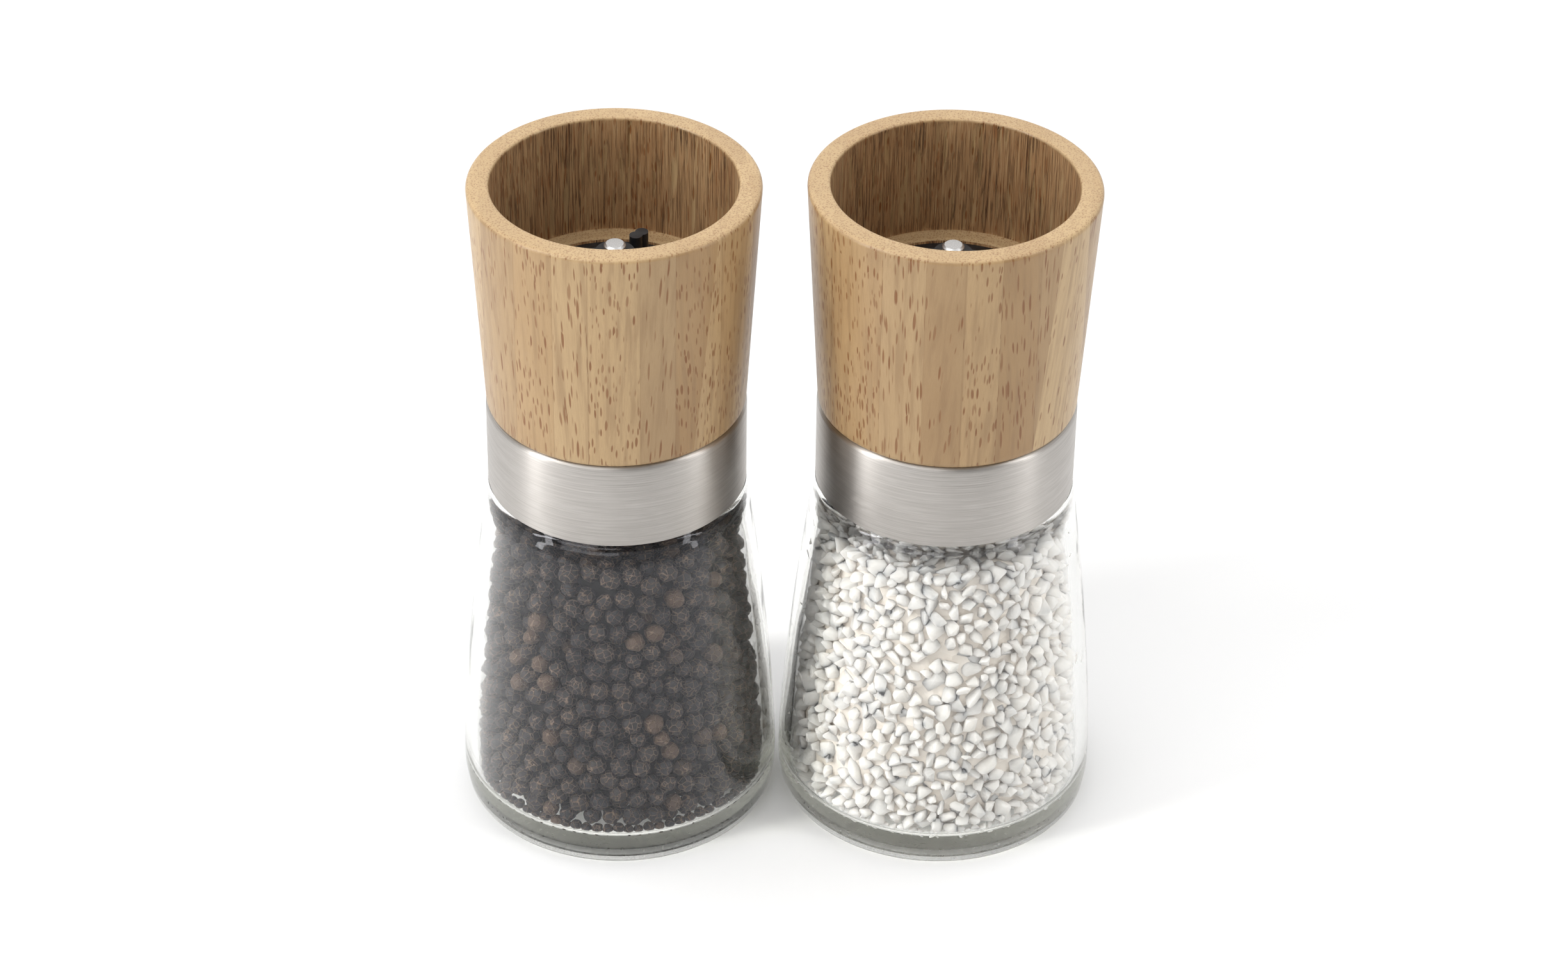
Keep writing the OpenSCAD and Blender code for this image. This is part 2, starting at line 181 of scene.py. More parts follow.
class Nodes:
    """Short names for the nodes that the materials are built from."""

    def __init__(self, name):
        self.material = bpy.data.materials.new(name)
        self.material.use_nodes = True
        self.tree = self.material.node_tree
        self.tree.nodes.clear()
        self.output = self.tree.nodes.new("ShaderNodeOutputMaterial")

    def add(self, kind, **settings):
        node = self.tree.nodes.new(kind)
        for key, value in settings.items():
            setattr(node, key, value)
        return node

    def feed(self, socket, value):
        if isinstance(value, bpy.types.NodeSocket):
            self.tree.links.new(value, socket)
        elif value is not None:
            socket.default_value = value

    def math(self, operation, a, b=None):
        node = self.add("ShaderNodeMath", operation=operation)
        for socket, value in zip(node.inputs, (a, b)):
            self.feed(socket, value)
        return node.outputs[0]

    def times(self, a, b):
        return self.math("MULTIPLY", a, b)

    def plus(self, a, b):
        return self.math("ADD", a, b)

    def vector(self, operation, a, b=None):
        node = self.add("ShaderNodeVectorMath", operation=operation)
        self.feed(node.inputs[0], a)
        if operation == "SCALE":
            self.feed(node.inputs["Scale"], b)
        else:
            self.feed(node.inputs[1], b)
        return node.outputs["Value"] if operation == "LENGTH" else node.outputs[0]

    def split(self, vector):
        node = self.add("ShaderNodeSeparateXYZ")
        self.feed(node.inputs[0], vector)
        return node.outputs

    def join(self, x, y, z):
        node = self.add("ShaderNodeCombineXYZ")
        for socket, value in zip(node.inputs, (x, y, z)):
            self.feed(socket, value)
        return node.outputs[0]

    def stretched(self, x, y, z, across, along):
        """A point with x and y times one factor and z times another."""
        return self.join(self.times(x, across), self.times(y, across), self.times(z, along))

    def ramp(self, value, low, high, to_low=0.0, to_high=1.0):
        """Maps low..high onto to_low..to_high with a soft start and end."""
        node = self.add("ShaderNodeMapRange", interpolation_type="SMOOTHSTEP")
        for socket, number in zip(node.inputs, (value, low, high, to_low, to_high)):
            self.feed(socket, number)
        return node.outputs[0]

    def blend(self, share, a, b):
        """Colour a, with a share of colour b mixed in."""
        node = self.add("ShaderNodeMix", data_type="RGBA", blend_type="MIX")
        self.feed(node.inputs[0], share)
        self.feed(node.inputs[6], a)
        self.feed(node.inputs[7], b)
        return node.outputs[2]

    def noise(self, vector, scale, detail=2.0, roughness=0.5):
        node = self.add("ShaderNodeTexNoise")
        for key, value in (("Vector", vector), ("Scale", scale), ("Detail", detail),
                           ("Roughness", roughness)):
            self.feed(node.inputs[key], value)
        return node.outputs["Fac"]

    def cells(self, vector, scale, feature="F1", dimensions="3D", randomness=1.0):
        node = self.add("ShaderNodeTexVoronoi", feature=feature, voronoi_dimensions=dimensions)
        for key, value in (("Vector", vector), ("Scale", scale), ("Randomness", randomness)):
            self.feed(node.inputs[key], value)
        return node.outputs

    def white(self, vector):
        """A random number that depends only on the point."""
        node = self.add("ShaderNodeTexWhiteNoise", noise_dimensions="3D")
        self.feed(node.inputs["Vector"], vector)
        return node.outputs["Value"]

    def bump(self, height, distance):
        node = self.add("ShaderNodeBump")
        for key, value in (("Height", height), ("Distance", distance), ("Strength", 1.0)):
            self.feed(node.inputs[key], value)
        return node.outputs[0]

    def surface(self, **sockets):
        """A Principled shader on the output, with sockets named by their labels in snake case."""
        shader = self.add("ShaderNodeBsdfPrincipled")
        for key, value in sockets.items():
            name = key.replace("_", " ").title().replace("Ior", "IOR")
            self.feed(shader.inputs[name], value)
        self.tree.links.new(shader.outputs[0], self.output.inputs["Surface"])
        return shader

    def millimetres(self, mill=None):
        """The point at rest in millimetres, measured from the mill's axis where one is named."""
        point = self.add("ShaderNodeTexCoord").outputs["Object"]
        if mill:
            point = self.vector("SUBTRACT", point, (axis_of(mill), 0, 0))
        return self.vector("SCALE", point, 1 / MM)


def rgb(red, green, blue):
    return (red, green, blue, 1.0)


# ---- materials ----

def bamboo(mill, grain_turn, seed):
    """Laminated bamboo: strips glued side by side, each with its own tone, crossed by fibre
    bundles. The bundles run up the strips, so the tapered outside cuts them into dashes, the cup's
    straight wall into long streaks and the rim into dots."""
    n = Nodes(f"{mill}_bamboo")
    x, y, height = n.split(n.millimetres(mill))
    turn_cos, turn_sin = math.cos(math.radians(grain_turn)), math.sin(math.radians(grain_turn))
    across = n.plus(n.times(x, turn_cos), n.times(y, turn_sin))
    deep = n.math("SUBTRACT", n.times(y, turn_cos), n.times(x, turn_sin))
    radius = n.vector("LENGTH", n.join(x, y, 0.0))

    strip_width, strip_depth, unevenness = 7.6, 19.0, 9.0
    uneven = n.times(n.noise(n.join(across, seed, 0.0), 0.11, 0.0), unevenness)
    strip_place = n.math("DIVIDE", n.plus(across, uneven), strip_width)
    strip = n.math("FLOOR", strip_place)
    within = n.math("FRACT", strip_place)
    shift = n.white(n.join(strip, seed, 1.7))
    layer = n.math("FLOOR", n.plus(n.math("DIVIDE", deep, strip_depth), shift))
    # Three random numbers for each strip of each layer
    paleness = n.white(n.join(strip, layer, seed + 0.31))
    fibrous = n.white(n.join(strip, layer, seed + 7.77))
    browning = n.white(n.join(strip, layer, seed + 3.13))

    # Fibre bundles: short dashes along the strip, dots where the strip is cut across. Each strip
    # has them strong, faint or not at all, and they run longer in some strips than in others.
    lean = n.times(n.math("SUBTRACT", fibrous, 0.5), 0.14)
    wander = n.times(n.noise(n.stretched(across, deep, height, 0.25, 0.05), 1.0), 1.6)
    fibre_across = n.plus(n.plus(across, n.times(height, lean)), wander)
    fibre_deep = n.plus(deep, n.times(height, n.times(lean, 0.8)))
    patch_height = n.plus(height, n.times(paleness, 60.0))
    patch = n.noise(n.stretched(across, deep, patch_height, 0.16, 0.045), 1.0, 1.0)
    bundle_gap = 0.66
    dash = n.ramp(browning, 0.45, 0.95, 3.7, 9.0)
    dots = n.cells(n.join(n.math("DIVIDE", fibre_across, bundle_gap),
                          n.math("DIVIDE", fibre_deep, bundle_gap),
                          n.plus(n.math("DIVIDE", height, dash), n.times(paleness, 40.0))),
                   1.0, randomness=0.85)
    bundle_tone = n.split(dots["Color"])
    size = n.ramp(bundle_tone[2], 0.0, 1.0, 0.28, 0.46)
    bundle = n.ramp(n.math("DIVIDE", dots["Distance"], size), 1.0, 0.60)
    plenty = n.times(n.ramp(fibrous, 0.05, 0.55, 0.35, 1.15), n.ramp(patch, 0.34, 0.54, 0.40, 1.0))
    kept = n.ramp(n.math("SUBTRACT", plenty, bundle_tone[0]), -0.1, 0.08)
    bundle = n.times(n.times(bundle, kept), n.ramp(bundle_tone[1], 0.0, 1.0, 0.6, 1.0))

    # Fine fibre between the bundles, and slow changes of tone
    fine = n.noise(n.stretched(fibre_across, fibre_deep, height, 5.5, 0.30), 1.0, 3.0, 0.6)
    streak = n.noise(n.stretched(fibre_across, fibre_deep, height, 0.9, 0.03), 1.0)
    cloud = n.noise(n.stretched(across, deep, height, 0.10, 0.05), 1.0)

    honey, straw, toast = rgb(0.345, 0.208, 0.090), rgb(0.505, 0.352, 0.182), rgb(0.255, 0.150, 0.067)
    bundle_brown, fine_brown = rgb(0.205, 0.078, 0.019), rgb(0.29, 0.165, 0.075)
    glue_brown, bare_and_shaded_brown = rgb(0.22, 0.12, 0.05), rgb(0.28, 0.115, 0.038)
    torn_and_shaded_brown, end_pale = rgb(0.085, 0.038, 0.013), rgb(0.58, 0.41, 0.22)
    colour = n.blend(paleness, honey, straw)
    colour = n.blend(n.ramp(browning, 0.55, 1.0, 0.0, 0.50), colour, toast)
    colour = n.blend(n.ramp(streak, 0.42, 0.70, 0.0, 0.55), colour, toast)
    colour = n.blend(n.ramp(cloud, 0.35, 0.7, 0.0, 0.25), colour, straw)
    colour = n.blend(n.ramp(fine, 0.35, 0.8, 0.0, 0.26), colour, fine_brown)
    colour = n.blend(n.times(bundle, 0.95), colour, bundle_brown)

    # Glue lines between strips
    edge = n.math("MINIMUM", within, n.math("SUBTRACT", 1.0, within))
    colour = n.blend(n.times(n.ramp(edge, 0.018, 0.002), 0.35), colour, glue_brown)

    # The cup's wall and ledge are bare. The wall is painted darker, partly for its bare, unlacquered wood
    # and partly as painted shade inside the cup, and it is torn
    inside = n.ramp(radius, CUP_R + 0.25, CUP_R - 0.02)
    below_rim = n.ramp(height, SLEEVE_HIGH.z - 0.3, SLEEVE_HIGH.z - 0.9)
    bare = n.times(inside, below_rim)
    facing = n.split(n.add("ShaderNodeNewGeometry").outputs["True Normal"])[2]
    upright = n.ramp(n.math("ABSOLUTE", facing), 0.8, 0.5)
    bare_wall = n.times(bare, upright)
    torn_lines = n.noise(n.stretched(across, deep, height, 4.2, 0.10), 1.0, 3.0, 0.62)
    rough_place = n.ramp(patch, 0.48, 0.62, 0.45, 1.0)
    torn = n.times(n.times(n.ramp(torn_lines, 0.51, 0.66), bare_wall), rough_place)
    pale_lines = n.times(n.ramp(torn_lines, 0.44, 0.32), bare_wall)
    # Painted shade: the upright cup wall goes towards a darker brown, partly for bare wood and partly for
    # the shade inside the cup
    colour = n.blend(n.times(bare_wall, 0.45), colour, bare_and_shaded_brown)
    colour = n.blend(n.times(pale_lines, 0.55), colour, straw)
    # Torn grooves painted near black: partly torn wood, partly painted shade in the grooves
    colour = n.blend(n.times(torn, 0.78), colour, torn_and_shaded_brown)

    # End grain, on the rim and the ledge: paler, speckled, with the bundles as dots
    end_grain = n.math("SUBTRACT", 1.0, upright)
    speck = n.noise(n.join(across, deep, 0.0), 3.6, 3.0, 0.7)
    colour = n.blend(n.times(end_grain, n.ramp(speck, 0.45, 0.75, 0.60, 0.15)), colour, end_pale)
    bundle_ends = n.cells(n.join(across, deep, 0.0), 1.55, "F1", "2D", 0.8)["Distance"]
    dot = n.times(n.times(n.ramp(bundle_ends, 0.29, 0.15), end_grain),
                  n.ramp(streak, 0.30, 0.55, 0.12, 0.50))
    colour = n.blend(dot, colour, bundle_brown)

    roughness = n.plus(n.ramp(bare, 0.0, 1.0, 0.40, 0.78), n.times(fine, 0.10))
    relief = n.plus(n.times(bundle, -0.35), n.times(fine, 0.35))
    relief = n.plus(relief, n.times(torn, -2.6))
    relief = n.plus(relief, n.times(n.times(end_grain, speck), 0.6))
    # Lacquer, on the outside and the rim only
    coat = n.ramp(bare, 0.0, 1.0, 0.22, 0.0)
    n.surface(base_color=colour, roughness=roughness, coat_weight=coat, coat_roughness=0.22,
              specular_ior_level=0.4, normal=n.bump(relief, 0.00012))
    return n.material


def brushed_steel(mill):
    """Stainless sheet with fine brush lines round it."""
    n = Nodes(f"{mill}_brushed_steel")
    x, y, height = n.split(n.millimetres(mill))
    turn = n.math("ARCTAN2", y, x)
    round_x, round_y = n.math("COSINE", turn), n.math("SINE", turn)
    lines = n.noise(n.stretched(round_x, round_y, height, 1.6, 9.0), 1.0, 4.0, 0.7)
    patches = n.noise(n.stretched(round_x, round_y, height, 4.0, 1.2), 1.0)
    mid, dark, bright = rgb(0.57, 0.54, 0.51), rgb(0.42, 0.397, 0.37), rgb(0.70, 0.675, 0.645)
    colour = n.blend(n.ramp(lines, 0.3, 0.75), mid, dark)
    colour = n.blend(n.ramp(patches, 0.45, 0.75, 0.0, 0.22), colour, bright)
    roughness = n.plus(n.ramp(lines, 0.2, 0.8, 0.34, 0.46), n.times(patches, 0.06))
    tangent = n.add("ShaderNodeTangent", direction_type="RADIAL", axis="Z")
    n.surface(base_color=colour, metallic=1.0, roughness=roughness, anisotropic=0.9,
              anisotropic_rotation=0.25, tangent=tangent.outputs[0], normal=n.bump(lines, 0.00001))
    return n.material


def machined_steel():
    """Turned or drawn steel for the shaft, spring, clip and screws."""
    n = Nodes("machined_steel")
    scratches = n.noise(n.vector("MULTIPLY", n.millimetres(), (9.0, 2.0, 3.0)), 1.0, 4.0, 0.75)
    colour = n.blend(n.ramp(scratches, 0.3, 0.7), rgb(0.78, 0.78, 0.77), rgb(0.58, 0.58, 0.58))
    n.surface(base_color=colour, metallic=1.0, roughness=n.ramp(scratches, 0.25, 0.8, 0.34, 0.50),
              normal=n.bump(scratches, 0.00002))
    return n.material


def black_plastic():
    """Moulded black plastic with a fine satin texture."""
    n = Nodes("black_plastic")
    place = n.millimetres()
    grain = n.noise(place, 5.0, 3.0, 0.6)
    wear = n.noise(place, 0.35, 3.0, 0.55)
    colour = n.blend(n.ramp(wear, 0.4, 0.75), rgb(0.009, 0.009, 0.010), rgb(0.020, 0.020, 0.021))
    n.surface(base_color=colour, roughness=n.ramp(wear, 0.3, 0.7, 0.34, 0.50),
              normal=n.bump(grain, 0.00002))
    return n.material


def ceramic():
    """Unglazed burr ceramic, off-white with faint specks."""
    n = Nodes("burr_ceramic")
    place = n.millimetres()
    speck = n.noise(place, 3.0, 4.0, 0.7)
    cloud = n.noise(place, 0.3, 2.0)
    colour = n.blend(n.ramp(cloud, 0.35, 0.7), rgb(0.80, 0.77, 0.70), rgb(0.71, 0.67, 0.60))
    colour = n.blend(n.ramp(speck, 0.62, 0.8, 0.0, 0.4), colour, rgb(0.45, 0.40, 0.33))
    n.surface(base_color=colour, roughness=n.ramp(speck, 0.3, 0.8, 0.42, 0.6),
              normal=n.bump(speck, 0.00003))
    return n.material


def silicone():
    """Soft translucent gasket."""
    n = Nodes("seal_silicone")
    dust = n.noise(n.millimetres(), 2.5, 3.0, 0.6)
    colour = n.blend(n.ramp(dust, 0.4, 0.8), rgb(0.66, 0.66, 0.63), rgb(0.52, 0.52, 0.50))
    n.surface(base_color=colour, roughness=n.ramp(dust, 0.3, 0.8, 0.45, 0.6), subsurface_weight=0.2,
              subsurface_scale=0.001, normal=n.bump(dust, 0.00002))
    return n.material


def jar_glass(mill):
    """Clear pressed glass: faintly wavy, grey-green where it is thick, stippled underneath, and
    open to the lamps' light, so that its shadow is pale."""
    n = Nodes(f"{mill}_glass")
    place = n.millimetres(mill)
    waves = n.noise(n.vector("MULTIPLY", place, (0.10, 0.10, 0.06)), 1.0, 1.0, 0.4)
    smudge = n.noise(place, 0.08, 3.0, 0.6)
    stipple = n.times(n.ramp(n.split(place)[2], 1.5, 1.25), n.noise(place, 1.4, 2.0, 0.6))
    roughness = n.plus(n.ramp(smudge, 0.4, 0.8, 0.0, 0.02), n.times(stipple, 0.75))
    shader = n.surface(base_color=rgb(1.0, 1.0, 1.0), roughness=roughness,
                       transmission_weight=1.0, ior=1.45, specular_tint=rgb(0.62, 0.62, 0.66),
                       normal=n.bump(waves, 0.0001))
    clear = n.add("ShaderNodeBsdfTransparent")
    clear.inputs["Color"].default_value = rgb(0.96, 0.96, 0.95)
    either = n.add("ShaderNodeMixShader")
    n.tree.links.new(n.add("ShaderNodeLightPath").outputs["Is Shadow Ray"], either.inputs[0])
    n.tree.links.new(shader.outputs[0], either.inputs[1])
    n.tree.links.new(clear.outputs[0], either.inputs[2])
    n.tree.links.new(either.outputs[0], n.output.inputs["Surface"])
    volume = n.add("ShaderNodeVolumeAbsorption")
    volume.inputs["Color"].default_value = rgb(0.79, 0.80, 0.69)
    volume.inputs["Density"].default_value = 19.0
    n.tree.links.new(volume.outputs[0], n.output.inputs["Volume"])
    return n.material


def peppercorn_skin():
    """Dried pepper skin: near black, with a net of browner wrinkles and a few paler corns."""
    n = Nodes("peppercorn_skin")
    place = n.millimetres()
    tone = n.add("ShaderNodeAttribute", attribute_name="tone").outputs["Fac"]
    wobble = n.noise(place, 0.9, 2.0)
    sway = n.join(wobble, n.math("SUBTRACT", 1.0, wobble), wobble)
    bent = n.vector("ADD", place, n.vector("SCALE", sway, 0.9))
    net = n.cells(bent, 0.80, "DISTANCE_TO_EDGE")["Distance"]
    ridge = n.ramp(net, 0.10, 0.0)
    dust = n.noise(place, 2.6, 4.0, 0.7)
    dark = n.blend(tone, rgb(0.006, 0.006, 0.009), rgb(0.022, 0.017, 0.016))
    pale = n.ramp(tone, 0.90, 0.97)
    skin = n.blend(n.times(pale, 0.60), dark, rgb(0.110, 0.064, 0.038))
    ridge_share = n.times(ridge, n.ramp(tone, 0.0, 0.7, 0.55, 1.0))
    colour = n.blend(ridge_share, skin, rgb(0.200, 0.140, 0.102))
    colour = n.blend(n.ramp(dust, 0.55, 0.90, 0.0, 0.14), colour, rgb(0.11, 0.086, 0.070))
    relief = n.plus(ridge, n.times(dust, 0.15))
    n.surface(base_color=colour, roughness=n.ramp(dust, 0.3, 0.8, 0.50, 0.75),
              specular_ior_level=0.35, normal=n.bump(relief, 0.00026))
    return n.material


def salt_grain():
    """Milky rock salt: light goes into each grain and comes out softened."""
    n = Nodes("salt_grain")
    place = n.millimetres()
    tone = n.add("ShaderNodeAttribute", attribute_name="tone").outputs["Fac"]
    frost = n.noise(place, 1.6, 4.0, 0.65)
    colour = n.blend(tone, rgb(0.79, 0.745, 0.695), rgb(0.85, 0.810, 0.765))
    colour = n.blend(n.ramp(frost, 0.4, 0.75, 0.0, 0.22), colour, rgb(0.78, 0.73, 0.67))
    n.surface(base_color=colour, roughness=n.ramp(frost, 0.3, 0.7, 0.35, 0.60), ior=1.45,
              specular_ior_level=0.3, subsurface_weight=1.0, subsurface_scale=0.005,
              subsurface_radius=(1.0, 0.95, 0.90), normal=n.bump(frost, 0.00010))
    return n.material


def heap_core(name, light, dark):
    """The middle of the contents, which shows only in the gaps between grains. It is painted a little
    darker than the grains, and darker still towards the edges of its lumps, as painted shade in the gaps.
    """
    n = Nodes(name)
    lumps = n.cells(n.millimetres(), 0.32)["Distance"]
    colour = n.blend(n.ramp(lumps, 0.2, 0.7), light, dark)
    n.surface(base_color=colour, roughness=n.ramp(lumps, 0.0, 1.0, 0.8, 0.95),
              normal=n.bump(lumps, 0.0008))
    return n.material


# ---- contents: grains packed against the inside of the jar ----

SCATTER = 0.05                  # random shift of each grain's first place, in millimetres
SEARCH_STEPS = 6                # steps between two searches for neighbours
LONGEST_MOVE = 1.2              # a grain's longest move in one step, in millimetres
OVERLAP_SHARE = 0.45            # share of an overlap that each of its two grains backs away
SETTLING_SHARE = 0.8            # part of the steps in which grains drift outward and down
OUTWARD_DRIFT = 0.06            # millimetres in one step
SINKING = 0.04                  # millimetres in one step
CLEARANCE = 0.1                 # between a grain and the glass
SALT_SWELL = 1.34               # a salt grain's size over that of the ball it is packed as


def inside_r(z):
    """Radius of the jar's inside at each height, with its rounded floor corner."""
    outer = np.array([wall_r(h) for h in np.atleast_1d(z)])
    corner = np.clip(FLOOR_Z + CORNER_R - z, 0.0, CORNER_R)
    return outer - WALL - CORNER_R + np.sqrt(CORNER_R ** 2 - corner ** 2)


def packed_grains(rng, count, radii, shell, rounds, edge):
    """Centres of grains that fill a shell just inside the contents' surface, pushed apart until
    they rest against each other and against the glass. The first grains line the floor's edge."""
    height = rng.uniform(FLOOR_Z + 1, FILL_Z, count * 3)
    turn = rng.uniform(0, 2 * math.pi, count * 3)
    reach = inside_r(height) * np.sqrt(rng.uniform(0, 1, count * 3))
    depth = np.minimum.reduce([inside_r(height) - reach, height - FLOOR_Z,
                                FILL_Z + MOUND - height])
    keep = np.flatnonzero(depth < shell)[:count]
    if len(keep) < count:
        keep = np.concatenate([keep, keep[:count - len(keep)]])
    reach, turn, height = reach[keep], turn[keep], height[keep]
    at = np.stack([reach * np.cos(turn), reach * np.sin(turn), height], 1)
    at += rng.normal(0, SCATTER, at.shape)
    edge_turn = 2 * math.pi * np.arange(edge) / edge
    edge_z = FLOOR_Z + radii[:edge]
    edge_r = inside_r(edge_z) - radii[:edge]
    at[:edge] = np.stack([edge_r * np.cos(edge_turn), edge_r * np.sin(edge_turn), edge_z], 1)
    for step in range(rounds):
        if step % SEARCH_STEPS == 0:
            i, j = near_pairs(at, radii, LONGEST_MOVE)
        apart = at[i] - at[j]
        distance = np.linalg.norm(apart, axis=1) + 1e-9
        overlap = np.maximum(radii[i] + radii[j] - distance, 0) * OVERLAP_SHARE
        push = apart / distance[:, None] * overlap[:, None]
        moved = np.zeros_like(at)
        for axis in range(3):
            moved[:, axis] = (np.bincount(i, push[:, axis], len(at))
                              - np.bincount(j, push[:, axis], len(at)))
        at += np.clip(moved, -LONGEST_MOVE, LONGEST_MOVE)
        if step < rounds * SETTLING_SHARE:
            outward = OUTWARD_DRIFT / (np.hypot(at[:, 0], at[:, 1]) + 1.0)
            at[:, :2] *= 1 + outward[:, None]
            at[:, 2] -= SINKING
        at = kept_inside(at, radii, shell)
    return at


def near_pairs(at, radii, spare):
    """Index pairs of grains close enough to touch within a few steps."""
    first, second = [], []
    order = np.argsort(at[:, 2])
    heights = at[order, 2]
    reach = 2 * radii.max() + spare
    ends = np.searchsorted(heights, heights + reach)
    for k, index in enumerate(order):
        others = order[k + 1:ends[k]]
        if len(others) == 0:
            continue
        gap = at[others] - at[index]
        close = np.einsum("ij,ij->i", gap, gap) < (radii[others] + radii[index] + spare) ** 2
        hit = others[close]
        first.append(np.full(len(hit), index))
        second.append(hit)
    return np.concatenate(first), np.concatenate(second)


def kept_inside(at, radii, shell):
    """Moves grains back between the contents' surface and the empty middle."""
    flat = np.hypot(at[:, 0], at[:, 1]) + 1e-9
    top = FILL_Z + MOUND * np.clip(1 - flat / MOUND_R, 0, 1)
    at[:, 2] = np.clip(at[:, 2], FLOOR_Z + radii + CLEARANCE, top - radii)
    limit = inside_r(at[:, 2]) - radii - CLEARANCE
    scale = np.minimum(1, limit / flat)
    at[:, :2] *= scale[:, None]
    flat = np.hypot(at[:, 0], at[:, 1]) + 1e-9
    side, low, high = inside_r(at[:, 2]) - flat, at[:, 2] - FLOOR_Z, top - at[:, 2]
    deepest = np.minimum.reduce([side, low, high]) - (shell - radii)
    over = np.clip(deepest, 0, None)
    by_side = (side <= low) & (side <= high)
    by_low = ~by_side & (low <= high)
    by_high = ~by_side & ~by_low
    # Each grain that is too deep goes back towards the surface nearest to it
    at[by_side, :2] *= (1 + over[by_side] / flat[by_side])[:, None]
    at[by_low, 2] -= over[by_low]
    at[by_high, 2] += over[by_high]
    return at


def random_turns(rng, count):
    """Random rotation matrices, one per grain."""
    q = rng.normal(size=(count, 4))
    q /= np.linalg.norm(q, axis=1)[:, None]
    w, x, y, z = q.T
    return np.stack([
        np.stack([1 - 2 * (y * y + z * z), 2 * (x * y - z * w), 2 * (x * z + y * w)], 1),
        np.stack([2 * (x * y + z * w), 1 - 2 * (x * x + z * z), 2 * (y * z - x * w)], 1),
        np.stack([2 * (x * z - y * w), 2 * (y * z + x * w), 1 - 2 * (x * x + y * y)], 1)], 1)


def peppercorn_shapes(rng, count):
    """Unit peppercorns, slightly out of round, dented, with ridges round their furrows."""
    ridge_width, furrow_depth = 0.25, 0.085
    shapes = []
    for _ in range(count):
        ball = bmesh.new()
        bmesh.ops.create_icosphere(ball, subdivisions=3, radius=1)
        squash = rng.uniform(0.90, 1.0, 3)
        offset = Vector(rng.uniform(-50, 50, 3))
        for v in ball.verts:
            p = v.co.copy()
            dent = noise.noise(p * 1.4 + offset) * 0.10
            near, next_near = noise.voronoi(p * 2.3 + offset)[0][:2]
            furrow = min(next_near - near, ridge_width) / ridge_width
            swell = 0.99 + dent - furrow_depth * furrow
            v.co = Vector((p.x * squash[0], p.y * squash[1], p.z * squash[2])) * swell
        shapes.append(as_arrays(ball))
    return shapes


def salt_shapes(rng, count):
    """Unit salt grains: chipped blocks with bevelled edges."""
    corners, bevel, flat_angle = 12, 0.09, 0.18
    shapes = []
    for _ in range(count):
        block = bmesh.new()
        squash = rng.uniform(0.66, 1.18, 3)
        for _ in range(corners):
            p = rng.normal(size=3)
            p /= np.linalg.norm(p)
            p *= rng.uniform(0.82, 1.08)
            block.verts.new(p * squash)
        bmesh.ops.convex_hull(block, input=block.verts)
        loose = [v for v in block.verts if not v.link_faces]
        bmesh.ops.delete(block, geom=loose, context="VERTS")
        bmesh.ops.dissolve_limit(block, angle_limit=flat_angle, verts=block.verts,
                                 edges=block.edges)
        bmesh.ops.bevel(block, geom=block.edges[:], offset=bevel, segments=1, affect="EDGES",
                        clamp_overlap=True)
        bmesh.ops.triangulate(block, faces=block.faces)
        shapes.append(as_arrays(block))
    return shapes


def as_arrays(edit):
    """A bmesh of triangles as an array of points and one of faces; the bmesh is freed."""
    edit.verts.ensure_lookup_table()
    bmesh.ops.recalc_face_normals(edit, faces=edit.faces)
    verts = np.array([v.co[:] for v in edit.verts])
    faces = np.array([[v.index for v in f.verts] for f in edit.faces])
    edit.free()
    return verts, faces


def heap(name, mill, rng, at, radii, shapes, material):
    """Meshes of many grains, each grain a turned and scaled copy of one of the shapes. The heap is
    split by height into three, so that no mesh is very large."""
    turns = random_turns(rng, len(at))
    tones = rng.uniform(0, 1, len(at))
    kinds = rng.integers(0, len(shapes), len(at))
    layers = np.array_split(np.argsort(at[:, 2], kind="stable"), 3)
    made = []
    for number, layer in enumerate(layers):
        verts, faces, tone, start = [], [], [], 0
        for k in layer:
            shape, sides = shapes[kinds[k]]
            verts.append(shape @ turns[k].T * radii[k] + at[k])
            faces.append(sides + start)
            tone.append(np.full(len(shape), tones[k]))
            start += len(shape)
        points = np.concatenate(verts) * MM
        points[:, 0] += axis_of(mill)
        grains = bulk_piece(f"{name}_{number + 1}", points, np.concatenate(faces))
        attribute = grains.data.attributes.new("tone", "FLOAT", "POINT")
        attribute.data.foreach_set("value", np.concatenate(tone).astype(np.float32))
        grains.data.materials.append(material)
        made.append(grains)
    return made


def bulk_piece(name, points, triangles):
    """A smooth-shaded mesh made from arrays, which is quicker than lists for many faces."""
    mesh = bpy.data.meshes.new(name)
    mesh.vertices.add(len(points))
    mesh.vertices.foreach_set("co", points.astype(np.float32).ravel())
    mesh.loops.add(triangles.size)
    mesh.loops.foreach_set("vertex_index", triangles.astype(np.int32).ravel())
    mesh.polygons.add(len(triangles))
    mesh.polygons.foreach_set("loop_start", np.arange(0, triangles.size, 3, dtype=np.int32))
    mesh.polygons.foreach_set("use_smooth", np.ones(len(triangles), dtype=bool))
    mesh.update(calc_edges=True)
    mesh.validate()
    made = bpy.data.objects.new(name, mesh)
    bpy.context.scene.collection.objects.link(made)
    return made


def core_outline(inset):
    """The contents' middle, a fixed depth inside their surface."""
    low, high, corner, crown = FLOOR_Z + inset, FILL_Z - inset, 2, 0.8
    side = [(float(inside_r(z)[0]) - inset, z) for z in np.linspace(low + corner, high, 12)]
    return [(0, low), (side[0][0] - corner, low)] + side + [(0, high + crown)]


